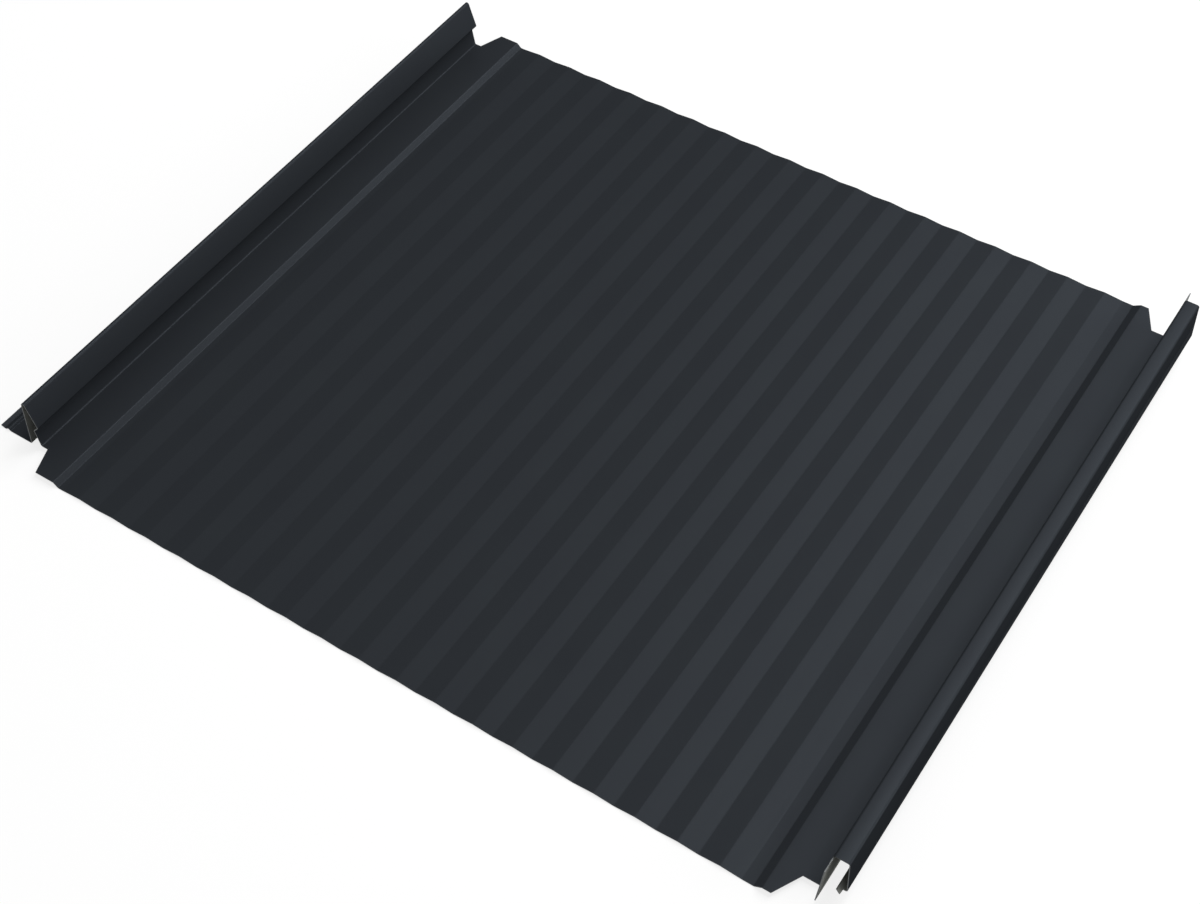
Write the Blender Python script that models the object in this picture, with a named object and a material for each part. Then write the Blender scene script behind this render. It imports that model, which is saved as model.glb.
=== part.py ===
"""Standing seam roof panel: one steel sheet, roll-formed along its length (+Y).

The section runs from the nailing flange at -X, over the male rib, across the waved pan and over
the female rib at +X. The next panel's male rib snaps up into the female rib, one cover width away.
The ends are notched, so that the ribs stand back from the pan.
"""
import math

import bmesh
import bpy
from mathutils import Vector

# Sheet, metres
SHEET = 0.0005
BEND_RADIUS = 0.0011
BEND_STEPS = 4

# Panel
COVER_WIDTH = 0.475
LENGTH = 0.424

# Waved field, and the step on each side of it
WAVE_PITCH = 0.02255
WAVE_COUNT = 18
WAVE_HEIGHT = 0.0009
WAVE_RADIUS = 0.006
WAVE_STEPS = 2
STEP_HEIGHT = 0.0022
MALE_STEP_RUN = 0.0029
MALE_STEP_OFFSET = 0.0032
FEMALE_STEP_RUN = 0.0041
FEMALE_STEP_OFFSET = 0.0061

# Male rib, with the shoulder that the next panel's hook catches under
MALE_STRIP = 0.0219
MALE_BASE_WIDTH = 0.0077
MALE_TOP_WIDTH = 0.0019
RIB_LEAN = 0.07
SHOULDER_HEIGHT = 0.0149
SHOULDER_OUT = 0.0016
UNDERCUT_HEIGHT = 0.0111
UNDERCUT_IN = 0.0021

# Nailing flange, with a stiffening bead, a turned-up edge and slots for the screws
FLANGE_WIDTH = 0.0218
BEAD_HEIGHT = 0.0015
BEAD_HALF_WIDTH = 0.0017
BEAD_FROM_EDGE = 0.0050
LIP_WIDTH = 0.0024
LIP_RISE = 0.0009
SLOT_LENGTH = 0.020
SLOT_WIDTH = 0.005
SLOT_PITCH = 0.050
SLOT_FROM_RIB = 0.0068
SLOT_ARC_STEPS = 8

# Female rib, and the clearance that it keeps round the male rib inside it
RIB_HEIGHT = 0.0311
SEAT_CLEARANCE = 0.0003
OUTER_LEAN = 0.049
HOOK_HEIGHT = 0.0079
HOOK_FLOOR = 0.0018
HOOK_FLOOR_DROP = 0.0006

# End cuts, measured back from the ends of the pan
TONGUE = 0.015
WALL_TONGUE = 0.007
HOOK_TONGUE = 0.012
MALE_CUT_SLANT = 0.0055
MALE_CUT_FROM_RIB = 0.0043
FEMALE_CUT_SLANT = 0.0079
FEMALE_CUT_FROM_RIB = 0.0102
CUT_MARGIN = 0.005

PAINT_COLOUR = (0.0185, 0.0225, 0.0265, 1.0)
PAINT_ROUGHNESS = 0.42

# Places along the section, from the middle of the waved field; z is 0 at the waves' mean level
LEFT_VALLEY_X = -WAVE_PITCH * WAVE_COUNT / 2
RIGHT_VALLEY_X = WAVE_PITCH * WAVE_COUNT / 2
VALLEY_Z = -WAVE_HEIGHT / 2
STRIP_Z = STEP_HEIGHT
MALE_STEP_FOOT_X = LEFT_VALLEY_X - MALE_STEP_OFFSET
MALE_STEP_TOP_X = MALE_STEP_FOOT_X - MALE_STEP_RUN
FEMALE_STEP_FOOT_X = RIGHT_VALLEY_X + FEMALE_STEP_OFFSET
FEMALE_STEP_TOP_X = FEMALE_STEP_FOOT_X + FEMALE_STEP_RUN
MALE_BASE_X = MALE_STEP_TOP_X - MALE_STRIP
MALE_FOOT_X = MALE_BASE_X - MALE_BASE_WIDTH
FLANGE_EDGE_X = MALE_FOOT_X - FLANGE_WIDTH
SHOULDER_X = MALE_BASE_X + SHOULDER_OUT
SHOULDER_Z = STRIP_Z + SHOULDER_HEIGHT
UNDERCUT_X = MALE_BASE_X - UNDERCUT_IN
UNDERCUT_Z = STRIP_Z + UNDERCUT_HEIGHT
FEMALE_TOP_Z = STRIP_Z + RIB_HEIGHT
SEAT = SHEET + SEAT_CLEARANCE
MALE_TOP_Z = FEMALE_TOP_Z - SEAT


def male_outer_x(z):
    """Outer wall of the male rib, leaning towards the pan."""
    return MALE_FOOT_X + RIB_LEAN * (z - VALLEY_Z)


def female_inner_x(z):
    """Inner wall of the female rib, which lies against the next male rib's outer wall."""
    return male_outer_x(z) + COVER_WIDTH - SEAT


def female_outer_x(z):
    """Outer wall of the female rib, which passes the next male rib's shoulder."""
    return SHOULDER_X + COVER_WIDTH + SEAT + OUTER_LEAN * (SHOULDER_Z - z)


FEMALE_BASE_X = female_inner_x(STRIP_Z)
HOOK_Z = STRIP_Z + HOOK_HEIGHT


def hook_tip():
    """Tip of the hook, one clearance from the undercut's wall and from the shoulder above it."""
    slope = (SHOULDER_Z - UNDERCUT_Z) / (SHOULDER_X - UNDERCUT_X)
    below_shoulder = SEAT * math.hypot(1.0, slope)
    tip_x = UNDERCUT_X + COVER_WIDTH + SEAT
    return tip_x, UNDERCUT_Z + slope * SEAT - below_shoulder


def nailing_flange():
    """Turned-up edge, bead and flat seat, level with the valleys of the pan."""
    bead_x = FLANGE_EDGE_X + BEAD_FROM_EDGE
    return [
        (FLANGE_EDGE_X, VALLEY_Z + LIP_RISE),
        (FLANGE_EDGE_X + LIP_WIDTH, VALLEY_Z),
        (bead_x - BEAD_HALF_WIDTH, VALLEY_Z),
        (bead_x, VALLEY_Z + BEAD_HEIGHT),
        (bead_x + BEAD_HALF_WIDTH, VALLEY_Z),
    ]


def male_rib():
    """Straight outer wall, narrow top, sloping flank, shoulder and undercut."""
    top_x = male_outer_x(MALE_TOP_Z)
    return [
        (MALE_FOOT_X, VALLEY_Z),
        (top_x, MALE_TOP_Z),
        (top_x + MALE_TOP_WIDTH, MALE_TOP_Z),
        (SHOULDER_X, SHOULDER_Z),
        (UNDERCUT_X, UNDERCUT_Z),
        (MALE_BASE_X, STRIP_Z),
    ]


def waves():
    """Peaks and valleys of the pan, from the first valley to the last."""
    half_waves = 2 * WAVE_COUNT
    points = []
    for index in range(half_waves + 1):
        level = VALLEY_Z if index % 2 == 0 else -VALLEY_Z
        points.append((LEFT_VALLEY_X + index * WAVE_PITCH / 2, level))
    return points


def female_rib():
    """Inner wall, flat top, outer wall and the hook turned in at its foot."""
    hook_x = female_outer_x(HOOK_Z)
    return [
        (FEMALE_BASE_X, STRIP_Z),
        (female_inner_x(FEMALE_TOP_Z), FEMALE_TOP_Z),
        (female_outer_x(FEMALE_TOP_Z), FEMALE_TOP_Z),
        (hook_x, HOOK_Z),
        (hook_x - HOOK_FLOOR, HOOK_Z - HOOK_FLOOR_DROP),
        hook_tip(),
    ]


def bend(before, corner, after, radius, steps):
    """Arc that rounds one corner of the section, no wider than the straights beside it allow."""
    inward = (corner - before).normalized()
    outward = (after - corner).normalized()
    turn = inward.angle_signed(outward)
    reach = min((corner - before).length, (after - corner).length) * 0.48
    tangent = min(radius * math.tan(abs(turn) / 2), reach)
    true_radius = tangent / math.tan(abs(turn) / 2)
    side = -math.copysign(1.0, turn)
    start = corner - inward * tangent
    centre = start + Vector((-inward.y, inward.x)) * side * true_radius
    spoke = start - centre
    points = []
    for step in range(steps + 1):
        angle = -turn * step / steps
        cosine = math.cos(angle)
        sine = math.sin(angle)
        turned = Vector((cosine * spoke.x - sine * spoke.y, sine * spoke.x + cosine * spoke.y))
        points.append(centre + turned)
    return points


def section():
    """Middle line of the sheet from the flange's edge to the hook's tip, with its bends rounded."""
    steps_left = [(MALE_STEP_TOP_X, STRIP_Z), (MALE_STEP_FOOT_X, VALLEY_Z)]
    steps_right = [(FEMALE_STEP_FOOT_X, VALLEY_Z), (FEMALE_STEP_TOP_X, STRIP_Z)]
    corners = [(point, BEND_RADIUS, BEND_STEPS) for point in nailing_flange() + male_rib() + steps_left]
    corners += [(point, WAVE_RADIUS, WAVE_STEPS) for point in waves()]
    corners += [(point, BEND_RADIUS, BEND_STEPS) for point in steps_right + female_rib()]
    places = [Vector(point) for point, radius, steps in corners]
    line = [places[0]]
    for index in range(1, len(places) - 1):
        radius, steps = corners[index][1:]
        line += bend(places[index - 1], places[index], places[index + 1], radius, steps)
    line.append(places[-1])
    return line


def new_object(name, mesh):
    thing = bpy.data.objects.new(name, mesh)
    bpy.context.scene.collection.objects.link(thing)
    return thing


def rolled_sheet(name):
    """The section drawn along the panel's length, then thickened evenly to both sides."""
    mesh = bpy.data.meshes.new(name)
    shape = bmesh.new()
    corners = [shape.verts.new((point.x, -LENGTH / 2, point.y)) for point in section()]
    edges = [shape.edges.new(pair) for pair in zip(corners, corners[1:])]
    drawn = bmesh.ops.extrude_edge_only(shape, edges=edges)["geom"]
    moved = [item for item in drawn if isinstance(item, bmesh.types.BMVert)]
    bmesh.ops.translate(shape, verts=moved, vec=(0.0, LENGTH, 0.0))
    shape.to_mesh(mesh)
    shape.free()
    sheet = new_object(name, mesh)
    wall = sheet.modifiers.new("sheet thickness", "SOLIDIFY")
    wall.thickness = SHEET
    wall.offset = 0.0
    wall.use_even_offset = True
    return sheet


def prism(name, outline, low, high):
    """Cutter of an outline in plan, from one height to another."""
    mesh = bpy.data.meshes.new(name)
    shape = bmesh.new()
    face = shape.faces.new([shape.verts.new((x, y, low)) for x, y in outline])
    raised = bmesh.ops.extrude_face_region(shape, geom=[face])["geom"]
    moved = [item for item in raised if isinstance(item, bmesh.types.BMVert)]
    bmesh.ops.translate(shape, verts=moved, vec=(0.0, 0.0, high - low))
    bmesh.ops.recalc_face_normals(shape, faces=shape.faces)
    shape.to_mesh(mesh)
    shape.free()
    cutter = new_object(name, mesh)
    cutter.hide_render = True
    cutter.display_type = "WIRE"
    return cutter


def end_cuts():
    """Each cut as a name, its outline as x and distance from the panel's end, and its heights."""
    below = VALLEY_Z - CUT_MARGIN
    above = FEMALE_TOP_Z + CUT_MARGIN
    left = FLANGE_EDGE_X - CUT_MARGIN
    right = female_outer_x(HOOK_Z) + CUT_MARGIN
    outside = -CUT_MARGIN
    male_notch = MALE_BASE_X + MALE_CUT_FROM_RIB
    male_slant = MALE_CUT_SLANT / TONGUE
    female_notch = FEMALE_BASE_X - FEMALE_CUT_FROM_RIB
    female_slant = FEMALE_CUT_SLANT / TONGUE
    wall_side = FEMALE_BASE_X - 2 * BEND_RADIUS
    channel_x = (female_inner_x(FEMALE_TOP_Z) + hook_tip()[0]) / 2
    leg_x = female_outer_x(FEMALE_TOP_Z) - BEND_RADIUS

    def slanted(notch, slant, far):
        corner = notch + slant * (TONGUE - outside)
        return [(corner, outside), (notch, TONGUE), (far, TONGUE), (far, outside)]

    def straight(from_x, depth):
        return [(from_x, outside), (right, outside), (right, depth), (from_x, depth)]

    return [
        ("male notch", slanted(male_notch, male_slant, left), below, above),
        ("female notch", slanted(female_notch, -female_slant, channel_x), below, STRIP_Z + SHEET),
        ("wall end", straight(wall_side, WALL_TONGUE), below, above),
        ("rib top end", straight(wall_side, TONGUE), FEMALE_TOP_Z - BEND_RADIUS, above),
        ("outer wall end", straight(leg_x, TONGUE), below, above),
        ("hook end", straight(channel_x, HOOK_TONGUE), below, above),
    ]


def slot_outline(middle_x, middle_y):
    """Slot with round ends, its length along the panel."""
    radius = SLOT_WIDTH / 2
    reach = SLOT_LENGTH / 2 - radius
    points = []
    for end in (1, -1):
        for step in range(SLOT_ARC_STEPS + 1):
            angle = math.pi * step / SLOT_ARC_STEPS
            x = middle_x + end * radius * math.cos(angle)
            points.append((x, middle_y + end * (reach + radius * math.sin(angle))))
    return points


def slot_places():
    """Middles of the slots along the flange, spaced evenly about the panel's middle."""
    room = LENGTH - 2 * TONGUE - SLOT_LENGTH
    count = int(room / SLOT_PITCH) + 1
    return [(index - (count - 1) / 2) * SLOT_PITCH for index in range(count)]


def cut(body, cutter):
    """Take the cutter's shape out of the body."""
    hole = body.modifiers.new(cutter.name, "BOOLEAN")
    hole.operation = "DIFFERENCE"
    hole.solver = "EXACT"
    hole.object = cutter


def paint():
    """Matt polyester coil coating, graphite grey."""
    material = bpy.data.materials.new("graphite coil coating")
    material.use_nodes = True
    shader = material.node_tree.nodes["Principled BSDF"]
    shader.inputs["Base Color"].default_value = PAINT_COLOUR
    shader.inputs["Roughness"].default_value = PAINT_ROUGHNESS
    shader.inputs["Metallic"].default_value = 0.0
    return material


def place_on_ground(body):
    """Set the panel down so that the middle of its underside is the origin."""
    bpy.context.view_layer.update()
    solid = body.evaluated_get(bpy.context.evaluated_depsgraph_get())
    places = [vertex.co for vertex in solid.data.vertices]
    low_x = min(place.x for place in places)
    high_x = max(place.x for place in places)
    low_z = min(place.z for place in places)
    shift = Vector((-(low_x + high_x) / 2, 0.0, -low_z))
    body.location += shift
    return shift


for old in list(bpy.data.objects):
    bpy.data.objects.remove(old, do_unlink=True)

panel = rolled_sheet("roof_panel")
cutters = []
for cut_name, cut_outline, cut_low, cut_high in end_cuts():
    for end_sign in (-1, 1):
        plan = [(x, end_sign * (LENGTH / 2 - depth)) for x, depth in cut_outline]
        cutters.append(prism(cut_name, plan, cut_low, cut_high))
slot_x = MALE_FOOT_X - SLOT_FROM_RIB
for slot_y in slot_places():
    outline = slot_outline(slot_x, slot_y)
    cutters.append(prism("screw slot", outline, VALLEY_Z - CUT_MARGIN, VALLEY_Z + CUT_MARGIN))
for tool in cutters:
    cut(panel, tool)
panel.data.materials.append(paint())
panel_shift = place_on_ground(panel)
for tool in cutters:
    tool.location += panel_shift
panel.data.shade_smooth()
panel.data.set_sharp_from_angle(angle=math.radians(30))
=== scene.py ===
"""Standing seam roof panel: one roll-formed steel sheet with its coatings and cut edges, on a pale floor."""
import math

import bpy
import numpy as np
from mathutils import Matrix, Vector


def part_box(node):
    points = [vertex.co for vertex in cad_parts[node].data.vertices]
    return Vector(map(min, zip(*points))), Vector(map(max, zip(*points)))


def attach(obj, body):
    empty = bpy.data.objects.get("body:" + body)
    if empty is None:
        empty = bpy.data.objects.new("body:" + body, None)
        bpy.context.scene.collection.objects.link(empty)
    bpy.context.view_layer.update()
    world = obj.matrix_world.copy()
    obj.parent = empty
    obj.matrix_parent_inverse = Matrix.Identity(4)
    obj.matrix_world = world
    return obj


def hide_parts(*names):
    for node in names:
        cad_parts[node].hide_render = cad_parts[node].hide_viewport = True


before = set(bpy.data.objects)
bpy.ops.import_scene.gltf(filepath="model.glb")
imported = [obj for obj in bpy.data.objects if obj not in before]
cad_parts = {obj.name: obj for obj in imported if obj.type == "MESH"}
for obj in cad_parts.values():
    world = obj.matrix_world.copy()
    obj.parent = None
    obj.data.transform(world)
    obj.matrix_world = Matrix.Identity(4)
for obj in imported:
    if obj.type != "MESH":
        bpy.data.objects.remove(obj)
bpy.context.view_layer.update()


# Section of the rolled sheet.
# A strip of 0.5 mm steel goes flat through rollers that fold it along its length: a nailing flange, the male
# rib, a pan with shallow waves, and the female rib with its hook. Sizes are in mm. The section is the sheet's
# middle line, with x from the middle of the waves and z from their mean level.
SHEET = 0.5
LENGTH = 424.0
COVER_WIDTH = 475.0
BEND_RADIUS = 1.1
BEND_STEPS = 6
BEND_SHARE = 0.48

# Pan: the waves, and on each side a step up to a flat strip.
WAVES = 18
WAVE_PITCH = 22.55
WAVE_HEIGHT = 0.9
CREASE_RADIUS = 6.0
CREASE_STEPS = 3
STEP_HEIGHT = 2.2
VALLEY_Z = -WAVE_HEIGHT / 2
LEFT_VALLEY = -WAVE_PITCH * WAVES / 2
MALE_STEP_OFFSET = 3.2
MALE_STEP_RUN = 2.9
MALE_STRIP = 21.9
MALE_STEP_FOOT = LEFT_VALLEY - MALE_STEP_OFFSET
MALE_STEP_TOP = MALE_STEP_FOOT - MALE_STEP_RUN
FEMALE_STEP_OFFSET = 6.1
FEMALE_STEP_RUN = 4.1
FEMALE_STEP_FOOT = -LEFT_VALLEY + FEMALE_STEP_OFFSET
FEMALE_STEP_TOP = FEMALE_STEP_FOOT + FEMALE_STEP_RUN
count = np.arange(2 * WAVES + 1)
wave_level = np.where(count % 2, 0.5, -0.5) * WAVE_HEIGHT
wave_corners = np.column_stack([LEFT_VALLEY + count * WAVE_PITCH / 2, wave_level])

# Male rib: a leaning wall, a narrow top, a sloping flank, and the shoulder that the next panel's hook catches
# under. Its top stays one seat, which is the sheet and a clearance, below the female rib's.
RIB_HEIGHT = 31.1
RIB_LEAN = 0.07
SEAT_CLEARANCE = 0.3
MALE_BASE_WIDTH = 7.7
MALE_TOP_WIDTH = 1.9
SHOULDER_OUT = 1.6
SHOULDER_HEIGHT = 14.9
UNDERCUT_IN = 2.1
UNDERCUT_HEIGHT = 11.1
SEAT = SHEET + SEAT_CLEARANCE
TOP_Z = STEP_HEIGHT + RIB_HEIGHT
MALE_TOP_Z = TOP_Z - SEAT
MALE_BASE = MALE_STEP_TOP - MALE_STRIP
MALE_FOOT = MALE_BASE - MALE_BASE_WIDTH
SHOULDER = (MALE_BASE + SHOULDER_OUT, STEP_HEIGHT + SHOULDER_HEIGHT)
UNDERCUT = (MALE_BASE - UNDERCUT_IN, STEP_HEIGHT + UNDERCUT_HEIGHT)


def male_wall(z):
    """x of the male rib's outer wall at a height: its foot plus the lean for each mm of height."""
    return MALE_FOOT + RIB_LEAN * (z - VALLEY_Z)


male_corners = [
    (MALE_FOOT, VALLEY_Z), (male_wall(MALE_TOP_Z), MALE_TOP_Z),
    (male_wall(MALE_TOP_Z) + MALE_TOP_WIDTH, MALE_TOP_Z), SHOULDER, UNDERCUT,
    (MALE_BASE, STEP_HEIGHT), (MALE_STEP_TOP, STEP_HEIGHT), (MALE_STEP_FOOT, VALLEY_Z),
]

# Nailing flange: a turned-up edge, a small bead and a flat seat, level with the valleys.
FLANGE_WIDTH = 21.8
LIP_WIDTH = 2.4
LIP_RISE = 0.9
BEAD_FROM_EDGE = 5.0
BEAD_HALF_WIDTH = 1.7
BEAD_HEIGHT = 1.5
FLANGE_EDGE = MALE_FOOT - FLANGE_WIDTH
BEAD = FLANGE_EDGE + BEAD_FROM_EDGE
flange_corners = [
    (FLANGE_EDGE, VALLEY_Z + LIP_RISE), (FLANGE_EDGE + LIP_WIDTH, VALLEY_Z),
    (BEAD - BEAD_HALF_WIDTH, VALLEY_Z), (BEAD, VALLEY_Z + BEAD_HEIGHT), (BEAD + BEAD_HALF_WIDTH, VALLEY_Z),
]

# Female rib: it takes the next panel's male rib, so its walls follow from that rib's, one cover width on.
OUTER_LEAN = 0.049
HOOK_HEIGHT = 7.9
HOOK_FLOOR = 1.8
HOOK_FLOOR_DROP = 0.6
HOOK_Z = STEP_HEIGHT + HOOK_HEIGHT


def female_walls(z):
    """x of the female rib's inner and outer wall at a height: the male rib's places, one cover width on.

    The inner wall is the male rib's wall less a seat. The outer one passes the shoulder a seat away and leans
    out below it.
    """
    inner = male_wall(z) + COVER_WIDTH - SEAT
    outer = SHOULDER[0] + COVER_WIDTH + SEAT + OUTER_LEAN * (SHOULDER[1] - z)
    return inner, outer


# The hook's tip is one seat across from the undercut's corner, and one seat from the slope above it.
slope = (SHOULDER[1] - UNDERCUT[1]) / (SHOULDER[0] - UNDERCUT[0])
hook_tip = (UNDERCUT[0] + COVER_WIDTH + SEAT, UNDERCUT[1] + slope * SEAT - SEAT * math.hypot(1.0, slope))
female_corners = [
    (FEMALE_STEP_FOOT, VALLEY_Z), (FEMALE_STEP_TOP, STEP_HEIGHT), (female_walls(STEP_HEIGHT)[0], STEP_HEIGHT),
    (female_walls(TOP_Z)[0], TOP_Z), (female_walls(TOP_Z)[1], TOP_Z), (female_walls(HOOK_Z)[1], HOOK_Z),
    (female_walls(HOOK_Z)[1] - HOOK_FLOOR, HOOK_Z - HOOK_FLOOR_DROP), hook_tip,
]

# All corners from left to right. The numbers of those that the end cuts are counted from come after them.
corners = np.vstack([flange_corners, male_corners, wave_corners, female_corners])
bead_end = len(flange_corners) - 1
first_wave = len(flange_corners) + len(male_corners)
last_wave = first_wave + len(wave_corners)
male_base = first_wave - 3
female_base = last_wave + 2
hook_floor_end = female_base + 4


def rounded(corners, radius, steps):
    """Line through corners, each rounded by an arc: points, normals to its left, and where it is straight.

    An arc starts radius * tan(turn / 2) before its corner, and takes no more than a share of the shorter
    straight beside it. Its points are its centre plus the spoke to its start, turned by equal parts of the
    turn, and its normal is the left side of the line, turned as far.
    """
    run = np.diff(corners, axis=0)
    length = np.hypot(run[:, 0], run[:, 1])
    run = run / length[:, None]
    before, after = run[:-1], run[1:]
    turn = np.arctan2(before[:, 0] * after[:, 1] - before[:, 1] * after[:, 0], (before * after).sum(1))
    reach = np.minimum(radius * np.tan(abs(turn) / 2), BEND_SHARE * np.minimum(length[:-1], length[1:]))
    left = np.column_stack([-before[:, 1], before[:, 0]])
    spoke = -left * (np.sign(turn) * reach / np.tan(abs(turn) / 2))[:, None]
    start = corners[1:-1] - before * reach[:, None]
    arc = np.repeat(np.arange(len(turn)), steps + 1)
    share = np.concatenate([np.arange(n + 1) / n for n in steps])
    cosine, sine = np.cos(turn[arc] * share), np.sin(turn[arc] * share)

    def turned(v):
        return np.column_stack([cosine * v[:, 0] - sine * v[:, 1], sine * v[:, 0] + cosine * v[:, 1]])

    points = (start - spoke)[arc] + turned(spoke[arc])
    normals = turned(left[arc])
    ends = np.column_stack([-run[[0, -1], 1], run[[0, -1], 0]])
    points = np.vstack([corners[:1], points, corners[-1:]])
    normals = np.vstack([ends[:1], normals, ends[1:]])
    arc = np.concatenate([[-1], arc, [-2]])
    return points, normals, arc[1:] != arc[:-1]


is_crease = np.zeros(len(corners) - 2, bool)
is_crease[first_wave - 1:last_wave - 1] = True
line, line_normal, straight = rounded(
    corners, np.where(is_crease, CREASE_RADIUS, BEND_RADIUS), np.where(is_crease, CREASE_STEPS, BEND_STEPS))
path = np.concatenate([[0.0], np.cumsum(np.hypot(*np.diff(line, axis=0).T))])


# Ends and slots.
# A press notches both ends before rolling, so that the pan's end can be folded round the eaves. The flange,
# the male rib and the female rib's top and outer wall are cut back most, its hook and inner wall less, and
# the strips get slanted corners. Slots punched along the flange let the sheet move under its screws.
NOTCH = 15.0
WALL_NOTCH = 7.0
HOOK_NOTCH = 12.0
MALE_CUT_FROM_RIB = 4.3
MALE_CUT_SLANT = 5.5
FEMALE_CUT_FROM_RIB = 10.2
FEMALE_CUT_SLANT = 7.9
CUT_TURN = 0.3
END_ZONE = 190.0
SLOTS = 8
SLOT_PITCH = 50.0
SLOT_FROM_RIB = 6.8
SLOT_RADIUS = 2.5
SLOT_REACH = 7.5
SLOT_STEPS = 6


def path_at(value, axis, low, high):
    """Distance along the section where x (axis 0) or z (axis 1) has a value, between two of its corners."""
    span = (path >= path_of_corner[low]) & (path <= path_of_corner[high])
    return np.interp(value, line[span, axis], path[span])


# How far the end is cut back at places along the section. Between two places the cut runs straight, and
# CUT_TURN is the short way that it takes from one depth to the next.
nearest = np.hypot(*(corners[:, None] - line[None]).transpose(2, 0, 1)).argmin(1)
path_of_corner = path[nearest]
male_notch_x = MALE_BASE + MALE_CUT_FROM_RIB
male_notch = path_at(male_notch_x, 0, male_base, male_base + 1)
male_corner = path_at(male_notch_x + MALE_CUT_SLANT, 0, male_base, male_base + 1)
female_notch_x = corners[female_base, 0] - FEMALE_CUT_FROM_RIB
female_notch = path_at(female_notch_x, 0, female_base - 1, female_base)
female_corner = path_at(female_notch_x - FEMALE_CUT_SLANT, 0, female_base - 1, female_base)
wall_low = path_at(STEP_HEIGHT + SHEET, 1, female_base, female_base + 1)
wall_high = path_at(TOP_Z - BEND_RADIUS, 1, female_base, female_base + 1)
hook_low = path_of_corner[hook_floor_end] + CUT_TURN
cut_knots = np.array([
    (0.0, NOTCH), (male_notch, NOTCH), (male_corner, 0.0), (female_corner, 0.0), (female_notch, NOTCH),
    (wall_low, NOTCH), (wall_low + CUT_TURN, WALL_NOTCH), (wall_high - CUT_TURN, WALL_NOTCH),
    (wall_high, NOTCH), (hook_low, NOTCH), (hook_low + CUT_TURN, HOOK_NOTCH), (path[-1], HOOK_NOTCH),
])

# Grid of the sheet: columns across it, at every bend, cut and slot, and rows along it. The rows in the middle
# take in the slots' round ends, and those past END_ZONE spread out to the cut ends.
quarter = np.arange(SLOT_STEPS + 1) * math.pi / 2 / SLOT_STEPS
half_turn = np.concatenate([quarter, quarter[1:] + math.pi / 2])
slot_x = MALE_FOOT - SLOT_FROM_RIB - SLOT_RADIUS * np.cos(half_turn)
slot_columns = path_at(slot_x, 0, bead_end, bead_end + 1)
across = np.unique(np.concatenate([path, cut_knots[:, 0], slot_columns]).round(6))
section = np.column_stack([np.interp(across, path, line[:, k]) for k in (0, 1)])
section_normal = np.column_stack([np.interp(across, path, line_normal[:, k]) for k in (0, 1)])
in_bend = ~straight[np.searchsorted(path, (across[1:] + across[:-1]) / 2) - 1]
cut_back = np.interp(across, cut_knots[:, 0], cut_knots[:, 1])

slot_y = (np.arange(SLOTS) - (SLOTS - 1) / 2) * SLOT_PITCH
rise = SLOT_REACH + SLOT_RADIUS * np.sin(quarter)
middle_rows = (slot_y[:, None] + np.concatenate([-rise[::-1], rise])[None]).ravel()
end_share = np.array([0.0, 0.5, 1.0])
end_rows = END_ZONE + (LENGTH / 2 - cut_back[:, None] - END_ZONE) * end_share[None]
rows = np.hstack([-end_rows[:, ::-1], np.tile(middle_rows, (len(across), 1)), end_rows])


def slot_cells(first_column, first_row):
    """Cells of the grid that one slot takes away whole, and those that its round ends cut corner to corner.

    Column k and row j of a round end meet on the slot's outline where k equals j, counted from the slot's
    side and from where the rounding starts. Cells nearer the middle go, and the one on the outline is halved.
    The last two results say of each halved cell if the outline rises along +X, and if its end is the upper.
    """
    k, j = np.meshgrid(np.arange(2 * SLOT_STEPS), np.arange(2 * SLOT_STEPS + 1), indexing="ij")
    from_side = np.minimum(k, 2 * SLOT_STEPS - 1 - k)
    from_middle = np.maximum(j - SLOT_STEPS - 1, SLOT_STEPS - 1 - j)
    upper = j > SLOT_STEPS
    rising = (k < SLOT_STEPS) == upper
    gone = from_middle <= from_side
    halved = (from_middle == from_side) & (j != SLOT_STEPS)
    cells = np.stack([k + first_column, j + first_row], axis=-1)
    return cells[gone], cells[halved], rising[halved], upper[halved]


columns, row_count = rows.shape
index = np.arange(columns * row_count).reshape(columns, row_count)
kept = np.ones((columns - 1, row_count - 1), bool)
first_column = int(np.abs(across - slot_columns[0]).argmin())
halves = []
slot_edges = []
for number in range(SLOTS):
    first_row = len(end_share) + number * 2 * (SLOT_STEPS + 1)
    gone, halved, rising, upper = slot_cells(first_column, first_row)
    kept[gone[:, 0], gone[:, 1]] = False
    i, j = halved.T
    a, b, c, d = index[i, j], index[i + 1, j], index[i + 1, j + 1], index[i, j + 1]
    outside = np.select([rising & upper, ~rising & upper, rising & ~upper], [0, 1, 2], 3)
    choices = [np.column_stack(three) for three in ((a, c, d), (b, c, d), (a, b, c), (a, b, d))]
    halves.append(np.choose(outside[:, None], choices))
    side = np.arange(2 * SLOT_STEPS + 1)
    level = np.minimum(side, 2 * SLOT_STEPS - side)
    top = index[first_column + side, first_row + SLOT_STEPS + 1 + level]
    bottom = index[first_column + side, first_row + SLOT_STEPS - level]
    slot_edges.append(np.concatenate([top, bottom[::-1], top[:1]]))

i, j = np.nonzero(kept)
quads = np.column_stack([index[i, j], index[i + 1, j], index[i + 1, j + 1], index[i, j + 1]])
quad_smooth = in_bend[i]
halves = np.vstack(halves)


# The sheet as a solid.
# Both faces lie half a thickness from the section's line. Narrow walls close them along the ends, along both
# long edges and round each slot, where the steel has been sheared.
MM = 0.001
SHARP_ANGLE = 30.0
face = np.repeat(section, row_count, axis=0)
lift = np.repeat(section_normal, row_count, axis=0) * SHEET / 2
length_way = rows.ravel()
painted = np.column_stack([face[:, 0] + lift[:, 0], length_way, face[:, 1] + lift[:, 1]])
under = np.column_stack([face[:, 0] - lift[:, 0], length_way, face[:, 1] - lift[:, 1]])
vertices = np.vstack([painted, under]) * MM
half = len(painted)


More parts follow.
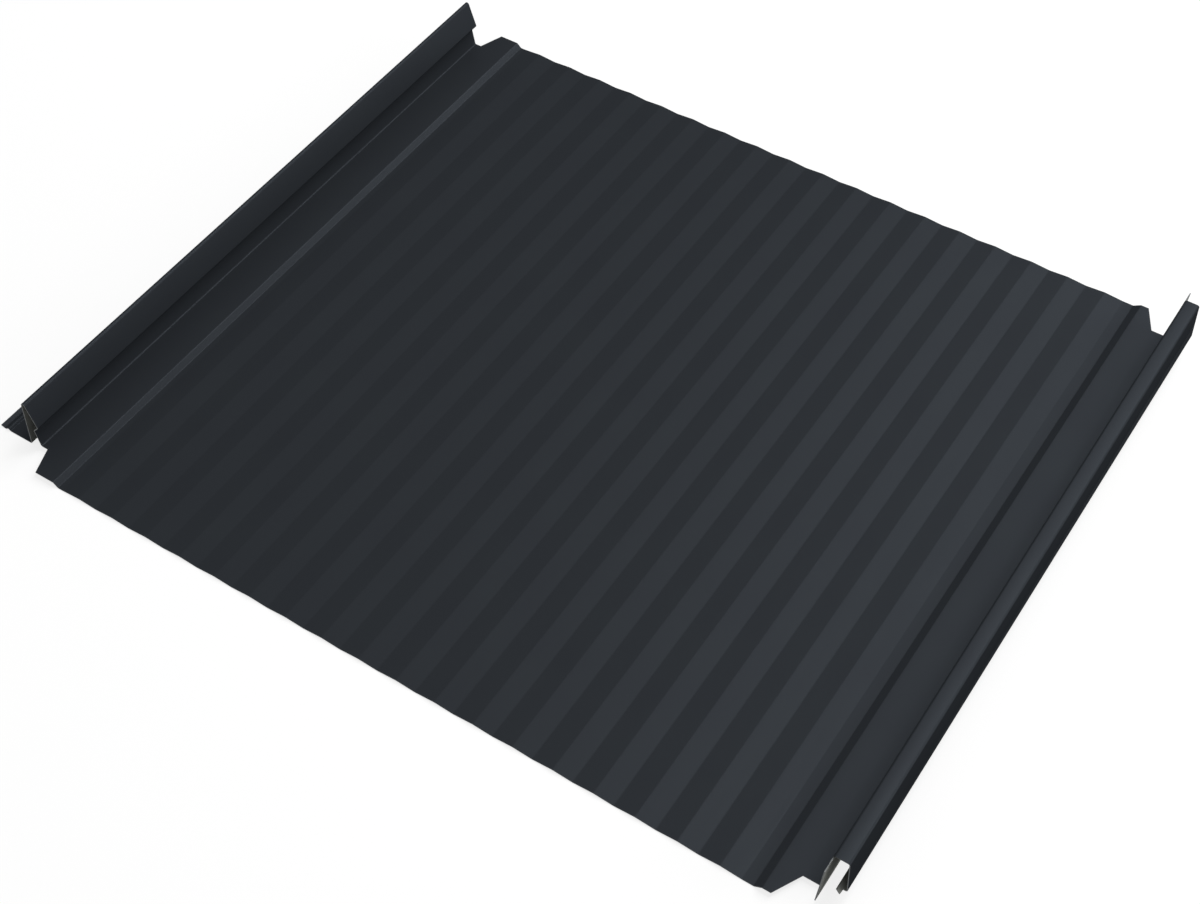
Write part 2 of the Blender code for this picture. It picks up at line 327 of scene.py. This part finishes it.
def sheared(edge):
    """Wall between the two faces along a line of points: each pair of them with the pair under it."""
    return np.column_stack([edge[:-1], edge[:-1] + half, edge[1:] + half, edge[1:]])


edges = [index[:, 0], index[-1], index[::-1, -1], index[0, ::-1]] + slot_edges
rim = np.vstack([sheared(edge) for edge in edges])
faces = quads.tolist() + halves.tolist()
faces += (quads[:, ::-1] + half).tolist() + (halves[:, ::-1] + half).tolist() + rim.tolist()
side_count = len(quads) + len(halves)
finish_number = np.repeat([0, 1, 2], [side_count, side_count, len(rim)]).astype(np.int32)
side_smooth = np.concatenate([quad_smooth, np.zeros(len(halves), bool)])
smooth = np.concatenate([side_smooth, side_smooth, np.zeros(len(rim), bool)])

# The sheet goes where the CAD node lies: the same middle across, and the same underside.
node_low, node_high = (np.array(corner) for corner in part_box("roof_panel"))
middle = (vertices.min(0) + vertices.max(0)) / 2
vertices += [(node_low[0] + node_high[0]) / 2 - middle[0], 0.0, node_low[2] - vertices[:, 2].min()]
mesh = bpy.data.meshes.new("rolled_sheet")
mesh.from_pydata(vertices, [], faces)
mesh.polygons.foreach_set("material_index", finish_number)
mesh.polygons.foreach_set("use_smooth", smooth)
mesh.update()
mesh.set_sharp_from_angle(angle=math.radians(SHARP_ANGLE))
sheet = bpy.data.objects.new("rolled_sheet", mesh)
bpy.context.scene.collection.objects.link(sheet)


# Finishes of the sheet.
# The coil is coated before it is cut and rolled: matt graphite polyester on the weather side, a thin grey
# epoxy back coat underneath, and bare zinc and steel where the press sheared it. A pattern's scale is one
# over its size in metres.
def linear(code):
    """Linear colour of an sRGB hex value: the standard's curve, (c + 0.055) / 1.055 to the power 2.4."""
    c = np.array([int(code[k:k + 2], 16) for k in (1, 3, 5)]) / 255
    return (*np.where(c <= 0.04045, c / 12.92, ((c + 0.055) / 1.055) ** 2.4), 1.0)


def node(tree, kind, inputs=None, **settings):
    """Node of a kind, with its settings. An input given as a socket is linked, and any other is set."""
    made = tree.nodes.new(kind)
    for name, value in settings.items():
        setattr(made, name, value)
    for key, value in (inputs or {}).items():
        if isinstance(value, bpy.types.NodeSocket):
            tree.links.new(value, made.inputs[key])
        else:
            made.inputs[key].default_value = value
    return made


def new_material(name):
    """Empty material, its node tree, and the place where its shader goes."""
    material = bpy.data.materials.new(name)
    material.use_nodes = True
    tree = material.node_tree
    tree.nodes.clear()
    return material, tree, node(tree, "ShaderNodeOutputMaterial").inputs["Surface"]


# Polyester coil coating with a little fine metal pigment and a matting agent: an even dark grey with a soft
# sheen, which doesn't turn white at a flat angle. Its grain is about 0.1 mm and is drawn at 0.8 mm so that it
# shows. The roller leaves faint streaks, 2.5 mm across and 50 mm along the coil, and clouds of about 33 mm.
paint, tree, surface = new_material("matt_polyester_coil_coating")
place = node(tree, "ShaderNodeTexCoord").outputs["Object"]
cloud = node(tree, "ShaderNodeTexNoise", {"Vector": place, "Scale": 30.0, "Detail": 3.0, "Roughness": 0.5})
along = node(tree, "ShaderNodeMapping", {"Vector": place, "Scale": (1.0, 0.05, 1.0)})
streak = node(tree, "ShaderNodeTexNoise", {"Vector": along.outputs["Vector"], "Scale": 400.0, "Detail": 2.0})
grain = node(tree, "ShaderNodeTexNoise", {"Vector": place, "Scale": 1250.0, "Detail": 2.0, "Roughness": 0.6})
tint = node(tree, "ShaderNodeMix", {
    "Factor": cloud.outputs["Fac"], "A": linear("#33363B"), "B": linear("#35393D")}, data_type="RGBA")
gloss = node(tree, "ShaderNodeMapRange", {
    "Value": streak.outputs["Fac"], "From Min": 0.3, "From Max": 0.7, "To Min": 0.38, "To Max": 0.42})
bump = node(tree, "ShaderNodeBump", {"Height": grain.outputs["Fac"], "Strength": 0.08, "Distance": 0.0001})
coat = node(tree, "ShaderNodeBsdfPrincipled", {
    "Base Color": tint.outputs["Result"], "Roughness": gloss.outputs["Result"],
    "Normal": bump.outputs["Normal"], "Metallic": 0.32,
    "Specular Tint": (0.0, 0.0, 0.0, 1.0), "Specular IOR Level": 0.0})
tree.links.new(coat.outputs["BSDF"], surface)

# Epoxy back coat: a few micrometres of light grey primer, so full of filler that it hardly shines even at a
# flat angle, and thin enough that the zinc's spangle, of about 8 mm, clouds it.
back, tree, surface = new_material("epoxy_back_coat")
place = node(tree, "ShaderNodeTexCoord").outputs["Object"]
cloud = node(tree, "ShaderNodeTexVoronoi", {"Vector": place, "Scale": 120.0}, feature="F1")
tint = node(tree, "ShaderNodeMix", {
    "Factor": cloud.outputs["Distance"], "A": linear("#8A8C87"), "B": linear("#949691")}, data_type="RGBA")
coat = node(tree, "ShaderNodeBsdfPrincipled", {
    "Base Color": tint.outputs["Result"], "Roughness": 1.0, "Specular IOR Level": 0.1})
tree.links.new(coat.outputs["BSDF"], surface)

# Sheared edge of galvanised steel: dull grey metal. Its scoring is finer than 0.1 mm, and is drawn as a
# change of gloss at about 1 mm.
bare, tree, surface = new_material("sheared_galvanised_edge")
place = node(tree, "ShaderNodeTexCoord").outputs["Object"]
score = node(tree, "ShaderNodeTexNoise", {"Vector": place, "Scale": 900.0, "Detail": 2.0})
gloss = node(tree, "ShaderNodeMapRange", {"Value": score.outputs["Fac"], "To Min": 0.4, "To Max": 0.5})
metal = node(tree, "ShaderNodeBsdfPrincipled", {
    "Base Color": linear("#5A5C5D"), "Metallic": 1.0, "Roughness": gloss.outputs["Result"]})
tree.links.new(metal.outputs["BSDF"], surface)

for finish in (paint, back, bare):
    mesh.materials.append(finish)
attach(sheet, "root")
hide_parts("roof_panel")


# Floor.
# A smooth white studio floor, lit by the same lamps. Light Path lifts it to white for the camera, reflections
# and glass, so that the panel's shadow stays on it and is faint.
FLOOR_SIZE = 30.0
FLOOR_LIFT = 0.78
square = np.array([(-1, -1), (1, -1), (1, 1), (-1, 1)]) * FLOOR_SIZE / 2
floor_mesh = bpy.data.meshes.new("studio_floor")
floor_mesh.from_pydata(np.column_stack([square, np.zeros(4)]), [], [[0, 1, 2, 3]])
floor = bpy.data.objects.new("studio_floor", floor_mesh)
bpy.context.scene.collection.objects.link(floor)
vinyl, tree, surface = new_material("white_studio_vinyl")
ray = node(tree, "ShaderNodeLightPath").outputs
seen = node(tree, "ShaderNodeMath", {0: ray["Is Camera Ray"], 1: ray["Is Glossy Ray"]}, operation="MAXIMUM")
seen = node(tree, "ShaderNodeMath", {0: seen.outputs[0], 1: ray["Is Transmission Ray"]}, operation="MAXIMUM")
lift = node(tree, "ShaderNodeMath", {0: seen.outputs[0], 1: FLOOR_LIFT}, operation="MULTIPLY")
white = node(tree, "ShaderNodeEmission", {"Color": (1.0, 1.0, 1.0, 1.0), "Strength": lift.outputs[0]})
matt = node(tree, "ShaderNodeBsdfDiffuse", {"Color": linear("#909090")})
both = node(tree, "ShaderNodeAddShader", {0: matt.outputs[0], 1: white.outputs[0]})
tree.links.new(both.outputs[0], surface)
floor_mesh.materials.append(vinyl)


# Light.
# Plain studio light in a dim room. A small soft box over the panel and a large one behind it give the waves
# their sheen, which grows towards the female rib, and a low one at the side lights the ribs' outer walls.
ROOM_LEVEL = 0.35
LAMP_DISTANCE = 2.5
world = bpy.data.worlds.new("studio")
world.use_nodes = True
bpy.context.scene.world = world
tree = world.node_tree
tree.nodes.clear()
room = node(tree, "ShaderNodeBackground", {"Color": (1.0, 1.0, 1.0, 1.0), "Strength": ROOM_LEVEL})
node(tree, "ShaderNodeOutputWorld", {"Surface": room.outputs[0]})


def soft_box(name, azimuth, elevation, size, watts):
    """Square lamp that faces the panel, from an angle round it counted from +X and a height angle.

    Its place is the lamp distance times (cos a cos e, sin a cos e, sin e).
    """
    a, e = math.radians(azimuth), math.radians(elevation)
    away = np.array([math.cos(a) * math.cos(e), math.sin(a) * math.cos(e), math.sin(e)])
    lamp = bpy.data.lights.new(name, "AREA")
    lamp.size = size
    lamp.energy = watts
    holder = bpy.data.objects.new(name, lamp)
    holder.location = away * LAMP_DISTANCE
    holder.rotation_euler = (math.pi / 2 - e, 0.0, a + math.pi / 2)
    bpy.context.scene.collection.objects.link(holder)


soft_box("top soft box", azimuth=62.0, elevation=72.0, size=0.6, watts=13.5)
soft_box("back soft box", azimuth=73.0, elevation=42.0, size=1.5, watts=25.5)
soft_box("side soft box", azimuth=22.0, elevation=17.0, size=1.2, watts=16.0)


# Camera.
# It stands at the photograph's place and looks along its angle, down by LOOK_DOWN and turned by TURN from +Y
# towards -X. The focal length was found in pixels of the photograph.
PHOTO_WIDTH = 1200
FOCAL_PIXELS = 1951.5
SENSOR = 36.0
LOOK_DOWN = 50.445
TURN = 32.921
camera = bpy.data.cameras.new("camera")
camera.sensor_width = SENSOR
camera.lens = FOCAL_PIXELS / PHOTO_WIDTH * SENSOR
camera.clip_end = 100.0
viewer = bpy.data.objects.new("camera", camera)
viewer.location = (0.3776, -0.58728, 0.79058)
viewer.rotation_euler = (math.radians(90.0 - LOOK_DOWN), 0.0, math.radians(TURN))
bpy.context.scene.collection.objects.link(viewer)
bpy.context.scene.camera = viewer
bpy.context.scene.view_settings.view_transform = "Standard"
